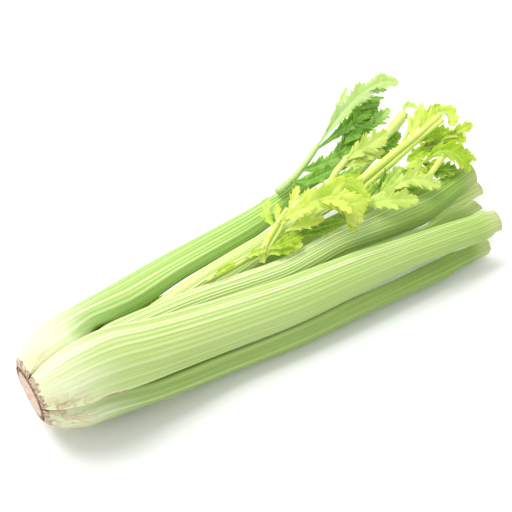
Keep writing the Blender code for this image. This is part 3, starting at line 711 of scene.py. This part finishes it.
# %% Spray of the heart, and the tones of them all
SPRAYS |= {
    "leaf_heart": ([
        ([(2, 0, 50), (9, 6, 58), (20, 11, 65), (33, 16, 70)], 5, 3.5),
        ([(5.4, 1.5, 53), (14.5, 5.7, 58.5), (24.2, 9.5, 64), (29.6, 12.9, 68.5)], 4, 3),
        ([(8, 5, 58), (-12, 4.5, 55), (-38, 4, 53.8)], 2.4, 1.8),
    ], [
        ([(23, 9, 67), (40, 9, 74), (57, 3, 78), (66, -8, 75),
          (66, -18, 64)], 30, (-0.3, -0.4, 0.9)),
        ([(23.3, 11.9, 66.3), (33.3, 6.8, 75), (46.3, 1.4, 79)], 13, (-0.3, -0.4, 0.9)),
        ([(48, 7.1, 74.8), (57, -2.8, 80.5), (61.6, -16.9, 79)], 12, (-0.3, -0.4, 0.9)),
        ([(51, 6, 76.5), (68, 12, 77), (80, 7, 73), (82, -2, 67),
          (75, -10, 62)], 17, (-0.2, -0.3, 0.9)),
        ([(19, 10, 65), (20, 22, 67), (28, 30, 67)], 13, (-0.7, -0.2, 0.6)),
        ([(21, 11, 67), (26, 18, 68), (31, 26, 67)], 8, (-0.5, -0.3, 0.8)),
        ([(31, 13, 71), (40, 19, 73), (50, 28, 72)], 9, (-0.4, -0.3, 0.9)),
        ([(38, 10, 73), (45, 15, 74), (54, 20, 73)], 8, (-0.4, -0.3, 0.9)),
        ([(45, 7, 75), (54, 11, 75), (63, 16, 74)], 8, (-0.4, -0.3, 0.9)),
        ([(24, 5, 63), (36, 2, 66), (51, -1, 66)], 14, UPRIGHT),
        ([(8.1, 2, 57), (19, -0.8, 60), (36.7, -0.8, 59)], 13, UPRIGHT),
        ([(6.3, 0.5, 54.5), (16.5, -3.4, 57), (30.6, -6.4, 57)], 12, (0, -0.5, 0.8)),
        ([(27, 1, 60), (46, -2, 58.5), (65, -5, 58)], 14, (0, -0.5, 0.8)),
        ([(64, -1, 73), (66, -10, 69), (63, -18, 61)], 14, (-0.2, -0.4, 0.9)),
        ([(-34, 4, 54), (-27, 4.5, 56), (-16, 5, 56.5)], 6, UPRIGHT),
        ([(-10, 4.6, 55), (-2, 4, 58), (7, 2, 58)], 8, UPRIGHT),
    ]),
}

TONES = {
    # 0 is pale and young, 1 is deep green, more is a blade in the shade of its neighbours
    "leaf_back": ((0.2,), (0.1, 1.2, 1.15, 1.3, 0.5, 0.8, 0.7, 0.9, 0.15, 0.75, 0.95)),
    "leaf_pale": ((0.1, 0.3, 0.3), (0.2, 0.3, 0.35, 0.8, 1.6, 0.5)),
    "leaf_crest": ((0.15, 0.25), (0.3, 0.35, 0.4, 0.95, 0.8, 0.55, 0.95, 1.5, 1.0)),
    "leaf_arch": ((0.5, 0.3), (1.05, 0.6, 0.6, 0.7, 0.8, 1.5)),
    "leaf_near": ((0.3,), (0.35, 0.3, 0.6, 1.4, 0.7, 1.3)),
    "leaf_heart": (
        (0.2, 0.3, 0.5),
        (0.3, 0.1, 0.15, 0.6, 0.6, 0.4, 0.25, 0.2, 0.25, 0.3, 0.85, 0.8, 1.6, 0.75, 0.85, 0.5),
    ),
}
print("blades:", sum(len(leaflets) for _, leaflets in SPRAYS.values()))


# %% Build the sprays
def build_spray(name, seed):
    """One object of the petioles and blades of a spray."""
    stems, leaflets = SPRAYS[name]
    stem_tones, tones = TONES[name]
    pieces = [petiole(*row, tone, seed) for row, tone in zip(stems, stem_tones, strict=True)]
    for i, (row, tone) in enumerate(zip(leaflets, tones, strict=True)):
        pieces.append(blade(*row, tone, seed + 7 * i))
    points, faces, facts = [], [], {}
    for own_points, own_faces, own_facts in pieces:
        base = len(points)
        points += own_points
        faces += [tuple(base + v for v in f) for f in own_faces]
        for key, values in own_facts.items():
            facts.setdefault(key, []).extend(values)
    return mesh_object(name + "_blades", points, faces, facts)


SPRAY_SLOT = dict.fromkeys(SPRAYS, "leaf_yellow")
SPRAY_SLOT |= {"leaf_back": "leaf_green", "leaf_pale": "leaf_pale", "leaf_near": "leaf_pale"}
made_sprays = {name: build_spray(name, 31 * i) for i, name in enumerate(SPRAYS)}
for name, obj in made_sprays.items():
    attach(obj, "root")
    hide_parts(name)
print("spray faces:", {n: len(o.data.polygons) for n, o in made_sprays.items()})

# %% [markdown]
# ## The root
#
# The knife leaves a flat disc of dense tissue. Within a day its face dries to a pinkish
# beige and its rim, where the outermost scales were torn away, turns brown and knobbly. So
# the disc is a lathe form whose rim is pushed in and back by chance, by well under a
# millimetre.

# %% Root disc
ROOT_SIDES = 144
KNOBS = 40  # knobs round the rim
RIM_RADIUS, RIM_WIDTH = 17.6, 1.1
ROOT_RADIUS = 18.4
KNOB_IN, KNOB_BACK = 0.9, 0.5  # how far a full knob is pushed in, and back from the cut
FACE_DEPTH = 3  # rows nearer to the cut than this belong to the face and its rim
ROOT_PROFILE = [
    # depth from the cut, radius
    (0.5, 3.5), (0.4, 7.0), (0.25, 10.5), (0.15, 13.0), (0.1, 15.0), (0.05, 16.2),
    (0.15, 17.0), (0.5, 17.7), (1.1, 18.2), (2.0, 18.4), (5, 18.4), (10, 18.1), (16, 15.9),
    (20, 11.9), (22.5, 5.9),
]


def build_root():
    """The root's disc and the short cone behind it, which the stalks hide."""
    draw = np.random.default_rng(5)
    knobs = draw.uniform(-1, 1, KNOBS).tolist()
    small = draw.uniform(-1, 1, ROOT_SIDES)
    points, facts = [], {"rim": [], "skin": []}
    for depth, radius in ROOT_PROFILE:
        on_face = depth < FACE_DEPTH
        rim = math.exp(-(((radius - RIM_RADIUS) / RIM_WIDTH) ** 2)) if on_face else 0.0
        for i in range(ROOT_SIDES):
            turn = 2 * math.pi * i / ROOT_SIDES
            knob = np.interp(i / ROOT_SIDES * KNOBS, range(KNOBS + 1), knobs + knobs[:1])
            bumps = 0.5 * knob + 0.25 * small[i]
            reach = radius - rim * abs(bumps) * KNOB_IN
            inset = depth + rim * (0.5 + 0.5 * bumps) * KNOB_BACK
            y, z = reach * math.cos(turn), reach * math.sin(turn)
            points.append((BUTT_X + inset, ROOT_Y + y, ROOT_Z + z))
            facts["rim"].append(radius / ROOT_RADIUS if on_face else 1.0)
            facts["skin"].append((depth, y, z))
    total = len(points)
    faces = tube_faces(total, ROOT_SIDES)
    faces += [tuple(range(ROOT_SIDES)), tuple(range(total - ROOT_SIDES, total))]
    return mesh_object("crown_root", points, faces, facts)


root = build_root()
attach(root, "root")
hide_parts("crown")
print("root faces:", len(root.data.polygons))

# %% [markdown]
# ## Colour and nodes
#
# Colours are picked as a printer's hex values and turned to the linear light that Cycles
# works in. One function adds a node, sets it and links it. On top of it stands the way a
# plant is coloured here: coat over coat, each with a share that says where it lies.

# %% Hex colours, and one function for nodes
def linear(code):
    """sRGB hex such as C9E08B to linear RGBA."""
    values = [int(code[i : i + 2], 16) / 255 for i in (0, 2, 4)]
    return (*(v / 12.92 if v <= 0.04045 else ((v + 0.055) / 1.055) ** 2.4 for v in values), 1.0)


def fill(node, sockets):
    """Give sockets of a node a value, a hex colour or a link."""
    for key, given in sockets.items():
        if isinstance(given, bpy.types.NodeSocket):
            node.id_data.links.new(given, node.inputs[key])
        else:
            node.inputs[key].default_value = linear(given) if isinstance(given, str) else given


def add(tree, kind, sockets, out=0, **settings):
    """Add one node with its settings, values and links; gives one of its outputs."""
    node = tree.nodes.new("ShaderNode" + kind)
    for key, value in settings.items():
        setattr(node, key, value)
    fill(node, sockets)
    return node.outputs[out]


print("C9E08B in linear light:", [round(v, 3) for v in linear("C9E08B")])


# %% Shares, coats and patterns
def share(tree, *parts):
    """Product of numbers, sockets and steps; a step is (socket, low, high, from, to)."""
    total = None
    for part in parts:
        if isinstance(part, tuple):
            names = ("Value", "From Min", "From Max", "To Min", "To Max")
            step = dict(zip(names, part if len(part) == 5 else (*part, 0.0, 1.0)))
            part = add(tree, "MapRange", step, interpolation_type="SMOOTHSTEP")
        if total is None:
            total = part
        else:
            total = add(tree, "Math", {0: total, 1: part}, operation="MULTIPLY")
    return total


def painted(tree, body, *coats):
    """Lay coats over a body; each is a colour and the parts of its share."""
    for colour, *parts in coats:
        sockets = {0: share(tree, *parts), 6: body, 7: colour}
        body = add(tree, "Mix", sockets, 2, data_type="RGBA", clamp_result=True)
    return body


def pattern(tree, place, sizes, detail=3.0, seed=0.0):
    """Cloudy pattern whose features have these sizes, in the units of the place."""
    scale = {"Scale": [1 / size for size in sizes], "Location": [seed] * 3, "Vector": place}
    moved = add(tree, "Mapping", scale)
    return add(tree, "TexNoise", {"Scale": 1.0, "Detail": detail, "Vector": moved}, "Fac")


def new_material(name, *keys):
    """A material, its node tree, its shader and a socket for each fact of the mesh."""
    made = bpy.data.materials.new(name)
    made.use_nodes = True
    tree = made.node_tree
    facts = []
    for key in keys:
        out = "Vector" if key == "skin" else "Fac"
        facts.append(add(tree, "Attribute", {}, out, attribute_name=key))
    return made, tree, tree.nodes["Principled BSDF"], facts


print("helpers:", ", ".join(f.__name__ for f in (share, painted, pattern, new_material)))

# %% [markdown]
# ## Stalk skin
#
# The skin is a thin waxy cuticle over watery green tissue: dielectric, index about 1.45,
# satin. Light goes a few millimetres in, which is why celery looks lit from inside. Blanched
# by soil and by its neighbours, the base is cream; the top, which saw the sun, is green. The
# tough strands of the ribs hold little green, so ribs are pale and grooves are green. On the
# rib crests a painted highlight adds to that pale. One flank of each stalk is darkened as
# painted shade, and the stalks under the others wear a darker skin as painted shade. The top
# stalk is paler in the middle as painted light, and deeper green at its far end partly as
# painted shade of the leaves. Where the knife cut the tops, the last millimetres dry to a
# pale tan.

# %% Stains at the base
FAR = 1000  # a size so big that a pattern doesn't change that way
SOIL_REACH = 42  # how far up a stalk the soil has stained it, in millimetres


def stained(tree, body, skin, along, side, low, seed):
    """Tan and brown stains where soil and the knife touched the base of a stalk."""
    patch = pattern(tree, skin, (10, 5.88, FAR), 6, seed + 3.7)
    streak = pattern(tree, skin, (11.1, 1.613, FAR), 6, seed + 9.1)
    crumb = pattern(tree, skin, (3.03, 3.03, FAR), 5, seed + 5.3)
    grit = pattern(tree, skin, (1.25, 1.25, FAR), 3, seed + 2.2)
    near = share(tree, (along, SOIL_REACH, 4), low)
    margin = add(tree, "Math", {0: side}, operation="ABSOLUTE")
    rim = share(tree, (along, 0, 6, 0.30, -0.30))
    flake = add(tree, "Math", {0: crumb, 1: rim}, operation="ADD")
    bark = painted(tree, "6F5342", ("CDB294", (grit, 0.40, 0.60)))
    marks = ((along, 54, 46), (along, 30, 40), (margin, 0.90, 0.97), (low, 0.88, 0.98))
    return painted(
        tree,
        body,
        ("CDB184", near, (patch, 0.47, 0.53), 0.6),  # dried soil
        ("A8763F", near, (patch, 0.46, 0.49), (patch, 0.54, 0.50), (crumb, 0.35, 0.55), 0.6),
        ("9C6E42", near, (streak, 0.57, 0.66), 0.7),  # brown streaks
        ("8A6238", *marks, (streak, 0.38, 0.5)),  # nicks on a margin
        (bark, (flake, 0.44, 0.60, 0.0, 0.9)),  # flakes of bark by the root
    )


print("stains reach", SOIL_REACH, "mm up a stalk")

# %% Skin of a stalk
FIBRE = 0.909  # millimetres between fibres
SOONER = 25  # millimetres by which a colour may set in sooner or later


def celery_skin(name, cream, low, high, groove, ridge, hollow, turn, flank_shade, soiled, seed):
    """Green to cream skin with pale ribs, fine fibres and a dried cut; satin and waxy."""
    keys = ("skin", "along", "ridge", "hollow", "side", "tip", "cut")
    made, tree, shader, facts = new_material(name, *keys)
    skin, along, ribs, inside, side, tip, cut = facts
    broad = pattern(tree, skin, (111.1, 16.67, FAR), 3, seed)  # patches as wide as a flank
    fibre = pattern(tree, skin, (71.4, FIBRE, FAR), 3, seed)
    fine = pattern(tree, skin, (33.3, 0.385, FAR), 2, seed)
    pith = pattern(tree, skin, (2.5, 2.5, 2.5))
    wander = {0: broad, 1: 2 * SOONER, 2: -SOONER}
    wander = add(tree, "Math", wander, operation="MULTIPLY_ADD")
    place = add(tree, "Math", {0: along, 1: wander}, operation="ADD")
    flank_shade_from, flank_shade_depth = flank_shade
    body = painted(
        tree,
        cream,
        (low, (place, 10, 90)),
        (high, (place, turn, 330)),
        (groove, (ribs, 0.75, 0.1), (place, 10, 60, 0.25, 0.8)),
        # rib crests: the pale of the strands, and a painted highlight that fades up the stalk
        (ridge, (ribs, 0.55, 0.95), (place, 0, 300, 0.75, 0.45)),
        (ridge, (fibre, 0.42, 0.62, 0.0, 0.16)),
        (groove, (fine, 0.52, 0.40, 0.0, 0.10)),
        (hollow, inside, 0.8),
        # painted shade: from 40 mm up, one flank darkens towards 0.62 of the groove green
        (painted(tree, "000000", (groove, 0.62)), (side, flank_shade_from, 0.85, 0.0, flank_shade_depth),
         (place, 40, 100)),
        ("DEE0A8", (tip, 18, 3, 0.0, 0.4)),
        ("BFAE74", (tip, 2.2, 0.6, 0.0, 0.7)),
        (painted(tree, "D9DFA6", ("B9BE7C", pith)), cut),
    )
    clean, full = soiled
    low_side = share(tree, (side, clean, full, 0.1, 1.0))
    height = {0: fibre, 1: 0.7, 2: share(tree, fine, 0.3)}
    height = add(tree, "Math", height, operation="MULTIPLY_ADD")
    fill(shader, {
        "Base Color": stained(tree, body, skin, along, side, low_side, seed),
        "Roughness": share(tree, (fibre, 0.3, 0.7, 0.36, 0.5)),
        "IOR": 1.45,
        "Subsurface Weight": 0.25,
        "Subsurface Scale": 4 * MM,
        "Subsurface Radius": (0.7, 1.0, 0.35),
        "Normal": add(tree, "Bump", {"Strength": 0.2, "Distance": 0.4 * MM, "Height": height}),
    })
    return made


SKINS = {
    # cream base, lower part, upper part, grooves, ribs, hollow side; then how far from the
    # root the upper part begins, where over the width the flank of painted shade begins and how
    # dark it is, where the stains begin and where they are full, a seed, and who wears it
    "celery_skin": (
        "EFF0D0", "DFE8AC", "B4CE76", "A8C860", "F2F7CC", "C6DB88",
        100, (0.1, 0.25), (0.2, 0.95), 0.0, ("stalk_front",),
    ),
    # top stalk: painted light makes its middle paler; its deep green far end is partly its own
    # green and partly painted shade of the leaves over it
    "celery_skin_top_painted_light_and_shade": (
        "F1F4DA", "E8F0BC", "78A220", "90B83A", "E8F2B0", "B6D264",
        220, (0.1, 0.6), (0.6, 1.4), 2.0, ("stalk_top",),
    ),
    "celery_skin_green": (
        "EEF2CF", "CAE08C", "93C046", "82B236", "E4F0B4", "B2D070",
        100, (0.4, 0.75), (0.0, 1.4), 6.0, ("stalk_back",),
    ),
    # painted shade: a darker copy of the skin, for the stalks that lie under the others
    "celery_skin_painted_shade": (
        "E8EBCB", "B0C676", "88A646", "7E9E3C", "CCE098", "A9C768",
        100, (0.1, 0.3), (-1.4, -0.9), 4.0,
        ("stalk_low_front", "stalk_under", "stalk_low_back"),
    ),
    "blanched_inner_skin": (
        "F2F3D8", "E4EDB0", "CADC80", "BCD66A", "F6F9D2", "D6E494",
        120, (0.3, 0.2), (0.6, 1.4), 8.0, HEART_STALKS,
    ),
}
for skin_name, (*row, wearers) in SKINS.items():
    made_skin = celery_skin(skin_name, *row)
    for name in wearers:
        made_stalks[name].data.materials.append(made_skin)
print("skins:", ", ".join(SKINS), "with", round(50 / FIBRE), "fibres on 50 mm")

# %% [markdown]
# ## Leaf blades
#
# A young celery leaf is half a millimetre of watery tissue, so light goes right through it
# and comes out yellow. Subsurface scattering in a thin closed blade does the same. The upper
# side is deeper, the lower side paler, both sides are equally satin, and the veins are pale.

# %% Leaf blade
def leaf_blade(name, pale, deep, shade, vein, margin, under, seed):
    """Mottled green blade with pale veins, lit from inside; paler below, satin on both sides."""
    made, tree, shader, facts = new_material(name, "skin", "tone", "margin", "vein", "top")
    skin, tone, at_margin, at_vein, top = facts
    mottle = pattern(tree, skin, (8.33, 8.33, 11.1), 4, seed)
    net = pattern(tree, skin, (1.111, 1.111, 11.1), 3, seed)  # the net of small veins
    drift = share(tree, (mottle, 0.3, 0.7, -0.22, 0.22))
    place = add(tree, "Math", {0: tone, 1: drift}, operation="ADD")
    body = painted(
        tree,
        pale,
        (deep, (place, 0.0, 1.0)),
        (shade, (place, 1.0, 1.6)),
        (pale, (net, 0.48, 0.62, 0.0, 0.2)),
        (margin, at_margin, 0.35),
        (vein, at_vein, 0.75),
        (under, (top, 1.0, 0.0, 0.0, 0.45)),
    )
    fill(shader, {
        "Base Color": body,
        "Roughness": share(tree, (net, 0.3, 0.7, 0.42, 0.6)),
        "IOR": 1.42,
        "Subsurface Weight": 0.6,
        "Subsurface Scale": 2 * MM,
        "Subsurface Radius": (0.8, 1.0, 0.2),
        "Normal": add(tree, "Bump", {"Strength": 0.4, "Distance": 0.4 * MM, "Height": net}),
    })
    return made


BLADES = {
    # slot: name, then young, mature and shaded blade, vein, margin, underside and a seed
    "leaf_green": (
        "mature_leaf_blade", "B8D28C", "649A12", "427604", "C8E094", "8CB63A", "B6D888", 0.0
    ),
    "leaf_pale": (
        "young_leaf_blade", "C8DE74", "8EB61C", "4E8004", "E6F49A", "BCD850", "C6E07A", 2.0
    ),
    "leaf_yellow": (
        "heart_leaf_blade", "CAE068", "8EB406", "547E02", "E8F886", "CCD828", "CEE26A", 5.0
    ),
}
made_blades = {slot: leaf_blade(*row) for slot, row in BLADES.items()}
for name, obj in made_sprays.items():
    obj.data.materials.append(made_blades[SPRAY_SLOT[name]])
print("blades:", ", ".join(b.name for b in made_blades.values()))

# %% [markdown]
# ## Dried root tissue
#
# Cut celery root browns as potato does. The face keeps a pinkish beige, mottled and grainy
# with the ends of its vessels; the rim is cork, rough and brown.

# %% Root material
def dried_root():
    """Dry, rough tissue with no shine, beige on the face and brown on the rim."""
    made, tree, shader, (skin, rim) = new_material("dried_root_tissue", "skin", "rim")
    blot = pattern(tree, skin, (3.846, 3.846, 3.846), 4)
    grain = pattern(tree, skin, (0.714, 0.714, 0.714), 3)
    drift = share(tree, (blot, 0.3, 0.7, -0.05, 0.05))
    edge = add(tree, "Math", {0: rim, 1: drift}, operation="ADD")
    cork = painted(tree, "5E4230", ("A37E58", (blot, 0.38, 0.6)))
    body = painted(
        tree,
        "E6D3C3",
        ("D2B8A2", (blot, 0.35, 0.65)),
        ("B89A80", (grain, 0.5, 0.65, 0.0, 0.4)),
        (cork, (edge, 0.77, 0.86)),
    )
    fill(shader, {
        "Base Color": body,
        "Roughness": 0.8,
        "IOR": 1.45,
        "Normal": add(tree, "Bump", {"Strength": 0.6, "Distance": 0.5 * MM, "Height": grain}),
    })
    return made


root.data.materials.append(dried_root())
print("root:", root.data.materials[0].name)

# %% [markdown]
# ## Table, light and camera
#
# A pale table under a big soft lamp behind and to the left, with a bright white room round
# it: what a grocer's catalogue uses, because it shows a vegetable with one soft shadow.

# %% Floor
BOARD = 6  # metres, so that its edge is far away
BELOW = -0.3 * MM  # just under the stalks, so that nothing flickers
CLOUD = 1 / 3  # metres over which its tint changes


def build_floor():
    """A matt white board, almost even in colour."""
    bpy.ops.mesh.primitive_plane_add(size=BOARD, location=(0, 0, BELOW))
    floor = bpy.context.object
    floor.name = "floor"
    made, tree, shader, _ = new_material("matt_white_board")
    tint = pattern(tree, add(tree, "TexCoord", {}, "Object"), (CLOUD, CLOUD, CLOUD), 2)
    fill(shader, {"Base Color": painted(tree, "FAFAF9", ("F7F8F7", tint)), "Roughness": 0.9})
    floor.data.materials.append(made)
    return floor


print("floor:", tuple(round(v, 2) for v in build_floor().dimensions))

# %% Lights
LAMP_PLACE, LAMP_AIM = Vector((-0.34, 0.62, 1.45)), Vector((0, 0, 0.03))
LAMP_SIZE, LAMP_POWER = 1.1, 22  # metres, watts
ROOM_LIGHT = 0.82
lamp_data = bpy.data.lights.new("key_lamp", "AREA")
lamp_data.shape = "DISK"
lamp_data.size = LAMP_SIZE
lamp_data.energy = LAMP_POWER
lamp = bpy.data.objects.new("key_lamp", lamp_data)
lamp.location = LAMP_PLACE
lamp.rotation_euler = (LAMP_AIM - LAMP_PLACE).to_track_quat("-Z", "Y").to_euler()
bpy.context.scene.collection.objects.link(lamp)
world = bpy.data.worlds.new("white_room")
world.use_nodes = True
fill(world.node_tree.nodes["Background"], {"Color": "FFFFFF", "Strength": ROOM_LIGHT})
bpy.context.scene.world = world
bpy.context.scene.view_settings.view_transform = "Standard"  # whites stay white
print("lamp is", round((LAMP_PLACE - LAMP_AIM).length, 2), "m away")

# %% Camera
AIM = Vector((-0.007365, -0.005195, 0.041587))
AZIMUTH, ELEVATION, DISTANCE = math.radians(-33), math.radians(50), 0.82
back = Vector((
    math.sin(AZIMUTH) * math.cos(ELEVATION),
    -math.cos(AZIMUTH) * math.cos(ELEVATION),
    math.sin(ELEVATION),
))
camera_data = bpy.data.cameras.new("camera")
camera_data.lens = 85
camera_data.sensor_width = 36
camera = bpy.data.objects.new("camera", camera_data)
camera.location = AIM + DISTANCE * back
camera.rotation_euler = (-back).to_track_quat("-Z", "Y").to_euler()
bpy.context.scene.collection.objects.link(camera)
bpy.context.scene.camera = camera
print("camera at", [round(v, 3) for v in camera.location])
